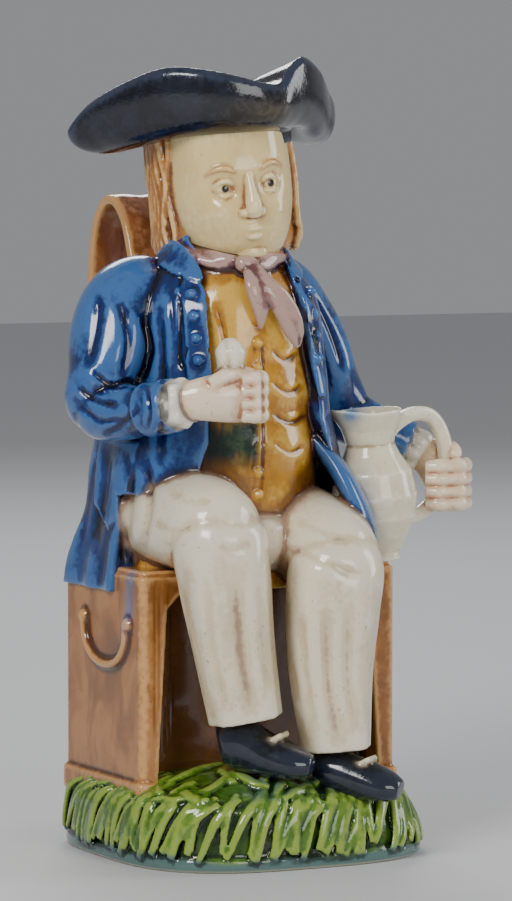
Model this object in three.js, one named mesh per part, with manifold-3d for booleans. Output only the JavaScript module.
// A seated sailor toby jug in glazed earthenware: one hollow casting with its handle, arms, cup and
// small pitcher luted on. Millimetres, +Z up. The figure faces -Y and its left hand is at +X. The
// origin is the centre of the flat underside.
import * as THREE from "three";
import { mergeVertices } from "three/addons/utils/BufferGeometryUtils.js";
import Module from "manifold-3d";

const wasm = await Module();
wasm.setup();

// Driving dimensions.
const BODY_X = -7; // the figure sits a little to its right, which leaves room for the pitcher
const BASE = { halfWidth: 60, halfDepth: 59.5, frontPower: 3, backPower: 3.6 };
const CHEST = { halfWidth: 52.3, front: -20, back: 45, bottom: 20, top: 106, corner: 2.5 };
const RECESS = { halfWidth: 41.5, splay: 4, depth: 14, bottom: 26, top: 98 };
const HEAD = { x: -5, y: 3, z: 242, roll: 7, turn: 8 };
const HAT = { x: -5, y: 5, z: 264.5, roll: 10, crease: 26, wall: 5 };
const PITCHER = { x: 49.5, y: -12.5, foot: 105.6, handleTurn: 10, lean: 5 };
const HANDLE = { x: -11, halfWidth: 12, halfThickness: 2.6 };
const SHEET = 3; // how far the coat stands proud of the waistcoat
const DEGREE = Math.PI / 180;

const vector = (x, y, z) => new THREE.Vector3(x, y, z);
const bump = (x, centre, width) => Math.exp(-(((x - centre) / width) ** 2));
const ease = (x, low, high) => THREE.MathUtils.smoothstep(x, low, high);
const mix = THREE.MathUtils.lerp;

// ---- From three.js geometry to solids ----

function solid(geometry) {
  const bare = new THREE.BufferGeometry();
  bare.setAttribute("position", geometry.getAttribute("position"));
  bare.setIndex(geometry.getIndex());
  const merged = mergeVertices(bare, 1e-3);
  const corners = merged.index.array;
  const kept = [];
  for (let i = 0; i < corners.length; i += 3) {
    const [a, b, c] = corners.slice(i, i + 3);
    if (a !== b && b !== c && c !== a) kept.push(a, b, c);
  }
  const mesh = new wasm.Mesh({
    numProp: 3,
    vertProperties: merged.attributes.position.array,
    triVerts: new Uint32Array(kept),
  });
  return new wasm.Manifold(mesh);
}

const join = (...pieces) => pieces.flat().reduce((whole, piece) => whole.add(piece));

function geometryOf(made) {
  const mesh = made.getMesh();
  const geometry = new THREE.BufferGeometry();
  geometry.setAttribute("position", new THREE.BufferAttribute(mesh.vertProperties, 3));
  geometry.setIndex(new THREE.BufferAttribute(mesh.triVerts, 1));
  geometry.computeVertexNormals();
  return geometry;
}

// Moves every vertex of a geometry to where place(vertex) says.
function reshape(geometry, place) {
  const positions = geometry.getAttribute("position");
  const vertex = new THREE.Vector3();
  for (let i = 0; i < positions.count; i++) {
    const moved = place(vertex.fromBufferAttribute(positions, i));
    positions.setXYZ(i, moved.x, moved.y, moved.z);
  }
  return geometry;
}

// A smooth body through sections, each a row of x, y, z, half width, half depth and, where it is
// boxier than an ellipse, a power. Rings are level on an upright body and square to its path on a
// limb, whose half widths lie along side. relief(angle, share, height) pushes the skin outwards:
// the angle is 0 at the side and 90 degrees at the front, and the share runs from 0 to 1.
function loft(sections, { sides = 16, rings = 8, side = [1, 0, 0], upright = false, relief, grow = 0 } = {}) {
  const curve = (pick) => new THREE.CatmullRomCurve3(sections.map(pick), false, "catmullrom", 0.5);
  const path = curve(([x, y, z]) => vector(x, y, z));
  const size = curve(([, , , width, depth, power = 2]) => vector(width, depth, power));
  const tube = new THREE.CylinderGeometry(1, 1, 1, sides, rings);
  return solid(
    reshape(tube, (v) => {
      const share = THREE.MathUtils.clamp(v.y + 0.5, 0, 1);
      const reach = Math.hypot(v.x, v.z);
      const angle = Math.atan2(v.z, v.x);
      const half = size.getPoint(share);
      const centre = path.getPoint(share);
      const along = upright ? vector(0, 0, 1) : path.getTangent(share);
      const across = vector(...side).addScaledVector(along, -along.dot(vector(...side))).normalize();
      const outward = across.clone().cross(along);
      const square = (Math.abs(Math.cos(angle)) ** half.z + Math.abs(Math.sin(angle)) ** half.z) ** (-1 / half.z);
      const extra = grow + (relief ? relief(angle, share, centre.z) : 0);
      const a = reach * Math.cos(angle) * (half.x * square + extra);
      const b = reach * Math.sin(angle) * (half.y * square + extra);
      return centre.addScaledVector(across, a).addScaledVector(outward, b);
    }),
  );
}

// An ellipsoid at a place, turned about Z, then X, then Y.
function blob([x, y, z], [a, b, c], { turn = [0, 0, 0], around = 10, down = 6 } = {}) {
  const ball = new THREE.SphereGeometry(1, around, down).rotateX(Math.PI / 2).scale(a, b, c);
  ball.rotateZ(turn[2] * DEGREE).rotateX(turn[0] * DEGREE).rotateY(turn[1] * DEGREE);
  return solid(ball.translate(x, y, z));
}

// A straight-sided slab: an outline of [a, b] pairs, pushed from low to high along an axis.
function slab(outline, low, high, axis = "z") {
  const shape = new THREE.Shape(outline.map(([a, b]) => new THREE.Vector2(a, b)));
  const plate = new THREE.ExtrudeGeometry(shape, { depth: high - low, bevelEnabled: false }).translate(0, 0, low);
  if (axis === "y") plate.rotateX(Math.PI / 2).scale(1, -1, 1);
  if (axis === "x") reshape(plate, (v) => vector(v.z, v.x, v.y));
  const made = solid(plate);
  return made.volume() < 0 ? solid(flipped(plate)) : made;
}

function flipped(geometry) {
  const turned = geometry.index ? geometry.toNonIndexed() : geometry.clone();
  const p = turned.getAttribute("position").array;
  for (let i = 0; i < p.length; i += 9)
    for (let k = 0; k < 3; k++) [p[i + 3 + k], p[i + 6 + k]] = [p[i + 6 + k], p[i + 3 + k]];
  return turned;
}

// A round solid from a profile of [radius, height] pairs that starts and ends on the axis.
function turned(profile, [x, y, z], segments = 20, place) {
  const points = profile.map(([r, h]) => new THREE.Vector2(r, h));
  const lathe = new THREE.LatheGeometry(points, segments).rotateX(Math.PI / 2);
  if (place) reshape(lathe, place);
  return solid(lathe.translate(x, y, z));
}

// ---- The grassy base ----

// The mound is highest against the chest, with a hump under the right foot.
const MOUND = { rim: 23, rise: 10, humpX: -14, humpY: -42, humpSize: 17, hump: 5, slope: 0.13 };

function moundHeight(x, y, share) {
  const hump = MOUND.hump * bump(x, MOUND.humpX, MOUND.humpSize) * bump(y, MOUND.humpY, MOUND.humpSize);
  return MOUND.rim + MOUND.rise * (1 - share ** 3) + hump * (1 - share ** 6);
}

// Blades lean this way and that, in tufts, with hollows between them.
function bladeRelief(angle, height) {
  const lean = 0.035 * height * (1 + 0.6 * Math.sin(3 * angle));
  return 1.6 * Math.abs(Math.sin(12 * angle + lean * 8)) * ease(height, 5, 16);
}

// How far a boxy oval of half width and half depth 1 reaches at an angle.
function baseReach(angle) {
  const power = Math.sin(angle) > 0 ? BASE.backPower : BASE.frontPower;
  return (Math.abs(Math.cos(angle)) ** power + Math.abs(Math.sin(angle)) ** power) ** (-1 / power);
}

function grassBase() {
  const { halfWidth, halfDepth } = BASE;
  const profile = [[0, 0], [0.985, 0], [1, 2], [1, 10], [0.985, 17], [0.94, 22], [0.82, 25], [0.55, 28], [0, 30]];
  return turned(profile, [0, 0, 0], 48, (v) => {
    const share = Math.hypot(v.x, v.y);
    if (share < 1e-6) return v.z < 1 ? v : vector(0, 0, moundHeight(0, 0, 0));
    const angle = Math.atan2(v.y, v.x);
    const x = v.x * halfWidth * baseReach(angle);
    const y = v.y * halfDepth * baseReach(angle);
    const low = v.z < 10;
    const z = low ? v.z : Math.min(v.z + 30, moundHeight(x, y, share)) * ease(v.z, 8, 24) + v.z * (1 - ease(v.z, 8, 24));
    const slope = MOUND.slope * Math.max(0, Math.cos(angle)) * ease(low ? v.z : z, 4, 30);
    const out = 1 + (bladeRelief(angle, low ? v.z : z) - 1) / 60 - slope;
    return vector(x * out, y * out, low ? v.z : z + (share > 0.3 ? bladeRelief(angle + share, 20) - 0.8 : 0));
  });
}

// ---- The sea chest that he sits on ----

function roundedOutline(halfWidth, front, back, corner) {
  const points = [];
  const corners = [[1, 1], [-1, 1], [-1, -1], [1, -1]];
  corners.forEach(([sx, sy], quarter) => {
    for (let step = 0; step <= 2; step++) {
      const angle = (quarter + step / 2) * Math.PI * 0.5;
      const y = sy > 0 ? back - corner : front + corner;
      points.push([sx * (halfWidth - corner) + corner * Math.cos(angle), y + corner * Math.sin(angle)]);
    }
  });
  return points;
}

function seaChest() {
  const { halfWidth, front, back, bottom, top, corner } = CHEST;
  const layer = (inset, low, high) =>
    slab(roundedOutline(halfWidth - inset, front + inset, back - inset, corner), low, high);
  const box = layer(0, bottom, top - 2);
  const lidEdge = layer(1.2, top - 3, top);
  const plinth = layer(-1.2, bottom, 29);
  const { halfWidth: half, splay, bottom: low, top: high, depth } = RECESS;
  const gap = slab([[-half - splay, low], [half + splay, low], [half, high - 6], [half - 6, high], [6 - half, high], [-half, high - 6]],
    front - 20, front + depth, "y");
  const lugs = [-9.5, 27.5].map((y) => blob([-halfWidth, y, 86], [2.6, 3, 2.8], { around: 6, down: 4 }));
  const bail = [[-9, 86], [-7.5, 78], [-1, 72], [9, 70], [19, 72], [25.5, 78], [27, 86]];
  const ring = loft(bail.map(([y, z]) => [-halfWidth - 0.6, y, z, 1.7, 1.7]), { sides: 4, rings: 8 });
  return join(box, lidEdge, plinth, lugs, ring).subtract(gap);
}

// ---- The figure's body and clothes ----

const WAISTCOAT = [
  [BODY_X, 9, 98, 38, 34], [BODY_X, 9, 132, 37, 36.5], [BODY_X, 9, 150, 36, 36.5], [BODY_X, 9, 168, 35, 36],
  [BODY_X, 9, 187, 33, 36], [BODY_X, 9, 203, 29, 33], [BODY_X, 7, 213, 23, 27], [BODY_X, 5, 223, 17, 19],
  [BODY_X, 5, 232, 15, 17],
];
const COAT = [
  [-7.5, 12.5, 97, 45.8, 34.5, 8], [-7.5, 12.5, 106, 45, 34, 7], [BODY_X, 11, 122, 44, 34.5, 5],
  [BODY_X, 10, 140, 43, 35.5, 4], [BODY_X, 9.5, 160, 40, 37, 3], [BODY_X, 9, 180, 37.5, 38.5, 2.4],
  [BODY_X, 9, 200, 37, 36.5, 2.1], [BODY_X, 8, 210, 32, 30.5, 2], [BODY_X, 6, 219, 24, 24, 2], [BODY_X, 5, 227, 18, 20, 2],
];
// Where the coat hangs open, as seen from the front: [x, z] down the right edge and up the left.
const OPENING = [
  [-23, 236], [-25, 216], [-27, 200], [-27.5, 175], [-27.5, 152], [-31, 142], [-42, 135], [-62, 130], [-62, 60],
  [62, 60], [62, 112], [50, 116], [40, 123], [32, 134], [24, 147], [18.5, 160], [15, 180], [12.5, 200], [11, 216], [9, 236],
];

const FRONT = Math.PI / 2;

// Long hollows that hang from the armpits, and the fuller pleats of the skirts.
function coatFolds(angle, share, height) {
  const hang = Math.cos(9 * angle + 2 * Math.sin(height / 14));
  const skirts = 1.5 * (1 - ease(height, 100, 135)) * Math.cos(11 * angle);
  return 0.7 * hang * bump(height, 175, 30) + skirts * (Math.abs(angle) > 2.4 || angle < 0 ? 1 : 0.3);
}

// Pulls across the belly, on its left side only.
function waistcoatFolds(angle, share, height) {
  const left = bump(angle, FRONT - 0.5, 0.5);
  return 0.9 * left * Math.cos(height / 3.4) * bump(height, 162, 26);
}

const coatSkin = (grow) => loft(COAT, { sides: 22, rings: 8, upright: true, relief: coatFolds, grow });

// A panel that stands proud of the coat where an outline, seen along an axis, covers it.
const panel = (outline, low, high, axis, proud) => coatSkin(proud).intersect(slab(outline, low, high, axis));

function mirrored(outline) {
  return outline.map(([x, z]) => [2 * BODY_X + 1 - x, z]);
}

function coat() {
  const opening = slab(OPENING, -90, 2, "y");
  const facing = [[-34.5, 168], [-26, 168], [-26, 209], [-30, 212], [-34.5, 207]];
  const collar = [[-41, 225], [-30, 233], [-25, 213], [-26.5, 210], [-33, 213]];
  const flap = [[-8, 152], [22, 152], [21, 128], [15, 124.5], [8.6, 120], [1.3, 124.5], [-4, 131], [-7, 142]];
  const panels = [
    panel(facing, -60, 0, "y", 1.4), panel(mirrored(facing), -60, 0, "y", 1.4),
    panel(collar, -60, 8, "y", 2), panel(mirrored(collar), -60, 8, "y", 2),
    panel(flap, -80, -20, "x", 1.3),
  ];
  return join(coatSkin(0), panels).subtract(opening);
}

// Small domed buttons, each set on the cloth and pushed out along -Y.
const button = ([x, y, z], radius) => blob([x, y, z], [radius, 2.8, radius], { around: 5, down: 3 });

function buttons() {
  const onCoat = [206, 198, 190, 182].flatMap((z, row) =>
    [-31, 2 * BODY_X + 32].map((x) => button([x, -17.8 - row * 2, z], 1.9)),
  );
  const onWaistcoat = [188, 179, 160, 150, 141, 133].map((z) => button([BODY_X - 1.5, -27.3, z], 1.6));
  return [...onCoat, ...onWaistcoat, button([-48.5, -35.5, 158.8], 1.6), button([63, 2.2, 146.5], 1.6)];
}

function neckerchief() {
  const ring = new THREE.TorusGeometry(17.5, 3.6, 4, 14);
  ring.scale(1, 1.12, 1.25).rotateX(14 * DEGREE).translate(BODY_X, 2.5, 221);
  const knot = blob([-9.5, -20.5, 216], [5, 3.6, 3.8], { turn: [0, 20, 0], around: 7, down: 4 });
  const tails = [
    [[-8, -22, 216, 2.4, 1.8], [-5, -27.5, 209, 4, 2], [1, -28.8, 201, 4.8, 2], [5.5, -28.2, 192, 4, 1.8], [7.5, -27.6, 186, 1, 1]],
    [[-10, -22, 215, 2.2, 1.8], [-10, -27.5, 209, 4, 2], [-8.5, -28.6, 201, 3.4, 1.6], [-8, -28.2, 193, 0.8, 0.8]],
  ];
  return join(solid(ring), knot, tails.map((rows) => loft(rows, { sides: 5, rings: 4 })));
}

// ---- Legs, in wide trousers, and buckled shoes ----

const flutes = (count, depth) => (angle, share) => depth * Math.cos(count * angle) * ease(share, 0.2, 0.6);

const LEGS = {
  right: {
    thigh: [[-30, 18, 124, 18, 17], [-32, -8, 124, 18.8, 18], [-31.3, -30, 123, 18.6, 17.8], [-30.7, -44, 121, 15, 14.5], [-30.5, -52, 119.5, 6, 7]],
    shin: [[-30.6, -39, 130, 12, 10], [-30.4, -39.5, 120, 17.5, 16], [-28.8, -41, 104, 17, 15.5], [-25.8, -42.5, 80, 15, 13.3], [-22, -44.5, 53.5, 13.4, 12.2]],
    shoe: [[-27, -34, 43, 4, 7], [-23, -37.5, 44.5, 7.8, 10.6], [-14, -45.5, 40.6, 8.4, 8], [-6, -52.6, 38, 7.8, 5.8], [-1.6, -56.5, 37, 4.6, 3.6]],
    buckle: [-11.5, -47.5, 46.2],
  },
  left: {
    thigh: [[14, 18, 120, 18, 17], [17, -8, 118, 18.5, 17.5], [17.6, -29, 113, 18.2, 17.3], [17.5, -43, 108.5, 15, 14.5], [17.4, -51, 106, 6, 7]],
    shin: [[17.4, -38, 119, 12, 10], [16.9, -40, 108, 17.5, 16], [14, -43, 92, 17.6, 15], [12.2, -45, 70, 15.8, 13.4], [13.6, -46.5, 41, 12.6, 12.2]],
    shoe: [[8, -40, 31.5, 4, 6], [12, -43.5, 32.6, 8, 9], [20, -51.5, 30.6, 8.4, 7.8], [27.5, -59.5, 28.2, 7.6, 5.6], [31, -63.2, 27.2, 4.4, 3.4]],
    buckle: [21.5, -53.2, 36.2],
  },
};

function leg({ thigh, shin, shoe, buckle }) {
  const frame = new THREE.TorusGeometry(3.9, 0.9, 3, 4).rotateZ(Math.PI / 4).scale(1.2, 0.9, 1);
  frame.rotateX(-28 * DEGREE).rotateZ(42 * DEGREE).translate(...buckle);
  return [
    loft(thigh, { sides: 11, rings: 5 }),
    loft(shin, { sides: 15, rings: 5, relief: flutes(5, 0.7) }),
    loft(shoe, { sides: 9, rings: 5 }),
    solid(frame),
  ];
}

// The cloth between the thighs, and the coat's left corner lying over the lap.
function lap() {
  const corner = [[22, -12, 152, 3, 6], [29, -22, 138, 4, 9], [34, -29, 122, 4, 10], [35.5, -31, 108, 3, 8]];
  return [
    blob([BODY_X, -6, 116], [24, 27, 16], { around: 8, down: 4 }),
    loft(corner, { side: [0.8, -0.6, 0], sides: 6, rings: 3 }),
  ];
}

// ---- Arms and hands ----

const rumpled = (count, depth) => (angle, share) =>
  depth * Math.cos(count * Math.PI * share + 2 * angle) * bump(share, 0.75, 0.3);

const ARMS = {
  right: {
    upper: [[-25, 12, 206, 9, 10], [-37, 12, 206.5, 13, 14.5], [-45.5, 11, 200.5, 14.5, 16], [-51, 8, 190, 14.5, 16], [-55, 5, 177, 13.5, 15], [-57.5, 3, 166, 12, 13], [-57.5, 1, 158, 8, 9]],
    fore: [[-57, 8, 163, 7, 8], [-57, 0, 163, 10.5, 11], [-55, -12, 163.5, 10, 10.3], [-51, -24, 165, 9, 9.4], [-46.5, -36, 167, 8.6, 9]],
    cuff: [[-51.5, -24.5, 165, 10, 10.5], [-46.3, -36.5, 167.2, 9.8, 10.3]],
    shirt: [[-47, -35, 167, 8.2, 8.8], [-44.5, -39, 168, 8.8, 9.4], [-43.5, -41, 168.3, 7.8, 8.4]],
    palm: [[-45, -39, 168.5, 5, 6.5], [-38, -43, 169.5, 5.8, 8], [-29, -45, 170, 6.4, 9.2], [-21, -45, 170, 5.8, 8.8], [-18, -43.5, 170, 3.4, 7]],
  },
  left: {
    upper: [[8, 12, 207, 9, 10], [20, 13.5, 206, 13, 14], [31, 15, 193, 13.5, 14], [37.5, 15.5, 182, 13, 13.5], [43.5, 16, 171, 12, 12.5], [48, 15.5, 160, 10.5, 11], [49.5, 14, 152, 7, 7]],
    fore: [[41, 16, 162, 7, 7], [47, 15.5, 159, 10.5, 10.5], [56, 12.5, 154.5, 9.8, 10], [65, 8.5, 149.5, 8.6, 9], [71, 5, 146.5, 8.2, 8.6]],
    cuff: [[61.5, 10, 151.5, 9.8, 10.2], [71, 5.2, 146.4, 9.4, 9.8]],
    shirt: [[70, 6, 147, 8, 8.4], [74, 3, 144, 8.4, 8.8], [76, 1.5, 142.5, 7.4, 7.8]],
    palm: [[75, 3, 144, 5, 6], [80, 0, 139, 5.5, 7.5], [84, -1.5, 131, 5.5, 7.5], [84, -2.5, 123.5, 4, 5]],
  },
};

// Four fingers laid one above another, each a bent, tapering tube.
function fingers(rows, levels, radius) {
  return levels.map((drop, index) =>
    loft(rows.map(([x, y, z, size]) => [x, y, z + drop, radius * size, radius * size]), { side: [0, 0, 1], sides: 5, rings: 3 }),
  );
}

function arm({ upper, fore, cuff, shirt, palm }) {
  return [
    loft(upper, { sides: 10, rings: 6, relief: rumpled(5, 0.7) }),
    loft(fore, { side: [0, 0, 1], sides: 9, rings: 4, relief: rumpled(4, 0.4) }),
    loft(cuff, { side: [0, 0, 1], sides: 9, rings: 1 }),
    loft(shirt, { side: [0, 0, 1], sides: 8, rings: 2 }),
    loft(palm, { side: [0, 1, 0], sides: 8, rings: 4 }),
  ];
}

function hands() {
  const rightFist = [[-27, -50, 170, 0.9], [-21, -50.5, 170, 1.05], [-17, -46.5, 170, 1.05], [-17, -40, 170, 0.9]];
  const leftGrip = [[87, -3, 132, 0.9], [88, -9, 132, 1.05], [83, -13, 132, 1.1], [75, -13, 132, 1.05], [70.5, -10, 132, 0.8]];
  const rightThumb = [[-38, -47, 175, 2.6, 2.6], [-31, -48.5, 178, 3, 2.8], [-23, -48, 178, 2.8, 2.6], [-19, -47, 177, 1.6, 1.6]];
  const leftThumb = [[80, 3, 146, 3, 3], [84, -4, 145.5, 3.2, 3], [84, -9, 144, 2.8, 2.6], [82, -11.5, 143, 1.4, 1.4]];
  return [
    ...fingers(rightFist, [6.6, 2.2, -2.2, -6.5], 2.7),
    ...fingers(leftGrip, [7.4, 2.7, -2.1, -6.6], 2.7),
    loft(rightThumb, { sides: 5, rings: 3 }),
    loft(leftThumb, { side: [0, 0, 1], sides: 5, rings: 3 }),
  ];
}

// ---- Head, hair and hat, made upright round their own middle and then tilted ----

const FACE = { eyeX: 8.8, eyeZ: 3, mouthZ: -13.5, chinZ: -23 };

function faceRelief(angle, share, height) {
  const across = 23 * Math.cos(angle);
  const front = ease(Math.sin(angle), 0.3, 0.7);
  const socket = bump(Math.abs(across), FACE.eyeX, 4.6) * bump(height, FACE.eyeZ, 4);
  const brow = bump(Math.abs(across), 8, 7) * bump(height, 9.5, 2.6);
  const cheek = bump(Math.abs(across), 11.5, 5) * bump(height, -7, 5.5);
  const muzzle = bump(across, 0, 7.5) * bump(height, -12, 5);
  return front * (-2.3 * socket + 0.8 * brow + 1.1 * cheek + 1.2 * muzzle);
}

function face() {
  const skull = [
    [0, -5, -27, 6, 7], [0, -4.5, -24, 13.5, 13.5], [0, -3, -17, 18.8, 19.5], [0, -1.5, -7, 22, 22.5], [0, -0.5, 4, 23, 23.8],
    [0, 0, 14, 23, 24], [0, 0, 25, 22.5, 24],
  ];
  const nose = [[0, -22.4, 8.5, 1.7, 2.4], [0, -24.4, 2, 2, 2.8], [0, -26.4, -4, 3, 3.2], [0, -25.6, -8, 2.2, 2.2]];
  const mirror = (make) => [make(1), make(-1)];
  return join(
    loft(skull, { sides: 20, rings: 11, upright: true, relief: faceRelief }),
    loft(nose, { sides: 6, rings: 4 }),
    mirror((s) => blob([s * FACE.eyeX, -19.4, FACE.eyeZ], [3.8, 2.7, 2.4], { around: 8, down: 4, turn: [0, 0, s * 16] })),
    blob([0, -23.3, FACE.mouthZ + 1.1], [5.4, 1.9, 1.1], { around: 7, down: 3 }),
    blob([0, -22.8, FACE.mouthZ - 1.5], [4.4, 2, 1.3], { around: 7, down: 3 }),
    blob([0, -17.4, FACE.chinZ + 1.5], [6.4, 4.4, 3.8], { around: 7, down: 4 }),
  );
}

// Hair hangs in long waving locks from under the hat, and leaves the face clear.
function hair() {
  const rows = [[-1, 8, -25, 23, 17], [-1, 8, -19, 27, 20], [0, 7, -5, 26.5, 21.5], [0, 6, 10, 26, 22], [0, 5, 25, 25, 22]];
  const locks = (angle, share) => 1.4 * Math.abs(Math.cos(6 * angle + 1.6 * Math.sin(5 * share))) + bump(share, 0.1, 0.15);
  const mass = loft(rows, { sides: 24, rings: 4, upright: true, relief: locks });
  const clear = loft([[0, -22, -40, 16.5, 22], [0, -22, 40, 20.5, 21]], { sides: 12, rings: 1, upright: true });
  return mass.subtract(clear);
}

// The brim turns up all round, highest over each eye, and runs out to a point at each side and a
// shorter one behind. The angle off the front is 0 over the nose.
const offFront = (angle) => Math.abs(Math.atan2(Math.sin(angle - FRONT), Math.cos(angle - FRONT))) / DEGREE;

function rimReach(off) {
  return 35.5 + 21 * bump(off, 110, 17) + 13 * bump(off, 180, 22);
}

function rimHeight(off, left) {
  return 17.5 + mix(9.5, 5.5, left) * bump(off, 62, 26) - 2.5 * bump(off, 112, 14) + 4 * bump(off, 180, 20);
}

// The brim's skin at an angle: share 0 is where it leaves the head and 1 is its rim.
function brimPoint(angle, share, inset, droop) {
  const off = offFront(angle);
  const left = ease(Math.cos(angle), -0.3, 0.3);
  const out = Math.sin(share * FRONT) ** 0.85;
  const reach = mix(HAT.crease, rimReach(off), out) + 2.2 * Math.sin(share * Math.PI) - inset;
  const up = mix(1 - Math.cos(share * FRONT), share, 0.35);
  const sag = mix(1.5, 7, left) * bump(off, 100, 30) * Math.sin(Math.min(1, share * 1.6) * Math.PI) * droop;
  return vector(reach * Math.cos(angle), -reach * Math.sin(angle), rimHeight(off, left) * up - sag);
}

function hat() {
  const rings = 5;
  const outer = reshape(new THREE.CylinderGeometry(1, 1, 1, 30, rings), (v) => {
    const share = v.y + 0.5;
    const reach = Math.hypot(v.x, v.z);
    const angle = Math.atan2(v.z, v.x);
    if (reach < 1e-6) return vector(0, 0, share < 0.5 ? -3 : 14);
    if (share < 1e-6) return vector(18 * Math.cos(angle), -18 * Math.sin(angle), -3);
    return brimPoint(angle, Math.max(0, (share * rings - 1) / (rings - 1)), share > 0.999 ? 1.4 : 0, 1);
  });
  const bowl = reshape(new THREE.CylinderGeometry(1, 1, 1, 30, 3), (v) => {
    const share = v.y + 0.5;
    const reach = Math.hypot(v.x, v.z);
    const angle = Math.atan2(v.z, v.x);
    if (reach < 1e-6) return vector(0, 0, share < 0.5 ? 4 : 45);
    const along = Math.min(1, (share * 3) / 2);
    const point = brimPoint(angle, along, HAT.wall - 1.2 * ease(along, 0.85, 1), 0.9);
    point.z = share > 0.999 ? 45 : Math.max(point.z, 0) + 4.2 * (1 - along);
    return point;
  });
  const crown = turned([[0, -6], [24, -6], [24.5, 8], [23.4, 12.5], [0, 12.5]], [0, 1, 0], 16);
  return join(solid(outer).subtract(solid(bowl)), crown);
}

function place(made, { x, y, z }, turns) {
  const matrix = new THREE.Matrix4().makeTranslation(x, y, z);
  turns.forEach((turn) => matrix.multiply(turn));
  return solid(geometryOf(made).applyMatrix4(matrix));
}

function head() {
  const about = (axis, degrees) => new THREE.Matrix4()[`makeRotation${axis}`](degrees * DEGREE);
  const skull = place(join(face(), hair()), HEAD, [about("Y", -HEAD.roll), about("Z", -HEAD.turn)]);
  return join(skull, place(hat(), HAT, [about("Y", -HAT.roll)]));
}

// ---- The cup, the pitcher and the strap handle ----

function cup() {
  const profile = [[0, -12], [4.2, -12], [4.4, -3], [5.2, 4], [5.6, 6.5], [5.2, 7], [3.6, 9.6], [0, 11.4]];
  return turned(profile, [-29, -45.5, 180], 9);
}

function pitcher() {
  const { x, y, foot, handleTurn, lean } = PITCHER;
  const profile = [
    [0, 0], [7.8, 0], [8, 3.5], [11.5, 9], [14.8, 16], [16, 24], [14.6, 33], [10.6, 39.5], [9, 43.5], [10, 49],
    [12.8, 56], [11.2, 55], [9.5, 51.5], [0, 51.5],
  ];
  const spout = (v) => {
    const pull = 4 * ease(v.z, 42, 56) * ease(-v.x / 13, 0.45, 1);
    return vector(v.x - pull, v.y * (1 - 0.03 * pull), v.z + 0.5 * pull);
  };
  const pot = turned(profile, [0, 0, 0], 13, spout);
  const strap = loft(
    [[8, 0, 46, 2.6, 3], [13, 0, 49.5, 2.8, 3.2], [21, 0, 52, 2.8, 3.2], [29.5, 0, 50, 2.8, 3.2], [34.5, 0, 42, 2.8, 3.2],
      [35, 0, 31, 2.8, 3.2], [30.5, 0, 21, 2.6, 3], [22, 0, 15, 2.6, 3], [13, 0, 14, 2.2, 2.6]],
    { side: [0, 1, 0], sides: 5, rings: 9 },
  );
  const turn = new THREE.Matrix4().makeRotationZ(handleTurn * DEGREE);
  const tip = new THREE.Matrix4().makeRotationY(-lean * DEGREE);
  return place(join(pot, strap), { x, y, z: foot }, [tip, turn]);
}

// A strap with a raised bead along each edge, from between the shoulders down to the small of the back.
function strapHandle() {
  const { x, halfWidth, halfThickness } = HANDLE;
  const path = [
    [34, 196], [44.5, 205], [50, 219], [55.5, 231], [64, 238], [73, 237], [80.5, 228], [84, 212], [84, 190], [79, 164], [67, 140], [44, 122],
  ];
  const beads = (angle) => 1.1 * bump(Math.abs(Math.cos(angle)), 0.93, 0.12) - 0.7 * bump(Math.cos(angle), 0, 0.5);
  return loft(path.map(([y, z]) => [x, y, z, halfWidth, halfThickness, 3.4]), { sides: 10, rings: 11, relief: beads });
}

// ---- The hollow inside: from the chest, up through the body and neck, out through the hat ----

function inside() {
  const { halfWidth, front, back, top } = CHEST;
  const floor = 7;
  const well = slab(roundedOutline(halfWidth - 6.3, front + RECESS.depth + 6, back - 6, 6), floor, top - 7);
  const rows = [
    [-4, 18, 90, 34, 18, 3], [-6, 13, 112, 37, 24.5, 3], [BODY_X, 10, 135, 36.5, 29, 2.6], [BODY_X, 9, 165, 33, 30.5, 2.2],
    [BODY_X, 9, 188, 29.5, 29, 2], [BODY_X, 8, 206, 22, 21, 2], [-6, 5, 219, 14, 14, 2], [-4.5, 4, 230, 16, 16, 2],
    [-5, 5, 246, 18.5, 18.5, 2], [-8, 5.5, 262, 18.5, 18.8, 2], [-14, 5.5, 300, 19, 19, 2],
  ];
  const core = loft(rows, { sides: 12, rings: 10, upright: true });
  const under = turned([[0, floor], [0.87, floor], [0.85, 16], [0.5, 21], [0, 23]], [0, 0, 0], 16, (v) => {
    const out = baseReach(Math.atan2(v.y, v.x));
    return vector(v.x * BASE.halfWidth * out, v.y * BASE.halfDepth * out, v.z);
  });
  const hollows = [
    [[-20, 12, 130, 9, 9], [-31, -14, 123.5, 12, 12], [-31, -38, 121, 11.5, 11]],
    [[4, 12, 122, 9, 9], [16, -14, 117, 12, 12], [17, -38, 109, 11.5, 11]],
    [[-20, 12, 196, 6, 6], [-44, 11, 201, 7.5, 9], [-54.5, 5, 178, 7, 8.5], [-56, 3, 168, 5, 6]],
    [[6, 12, 196, 6, 6], [25, 14.5, 200, 7.5, 8.5], [38, 15.5, 180, 7, 8], [44, 15.5, 169, 5, 6]],
  ];
  return join(well, core, under, hollows.map((path) => loft(path, { sides: 5, rings: 2 })));
}

// ---- The whole jug ----

const glaze = new THREE.MeshStandardMaterial({ color: 0x2c4f86, roughness: 0.15, metalness: 0 });

function tobyJug() {
  const outside = join(
    grassBase(), seaChest(), coat(), loft(WAISTCOAT, { sides: 18, rings: 10, upright: true, relief: waistcoatFolds }),
    leg(LEGS.right), leg(LEGS.left), lap(), arm(ARMS.right), arm(ARMS.left), hands(), buttons(), neckerchief(),
    head(), cup(), pitcher(), strapHandle(),
  );
  const jug = new THREE.Mesh(geometryOf(outside.subtract(inside())), glaze);
  jug.name = "toby_jug";
  return jug;
}

const part = new THREE.Group();
part.add(tobyJug());
export default part;
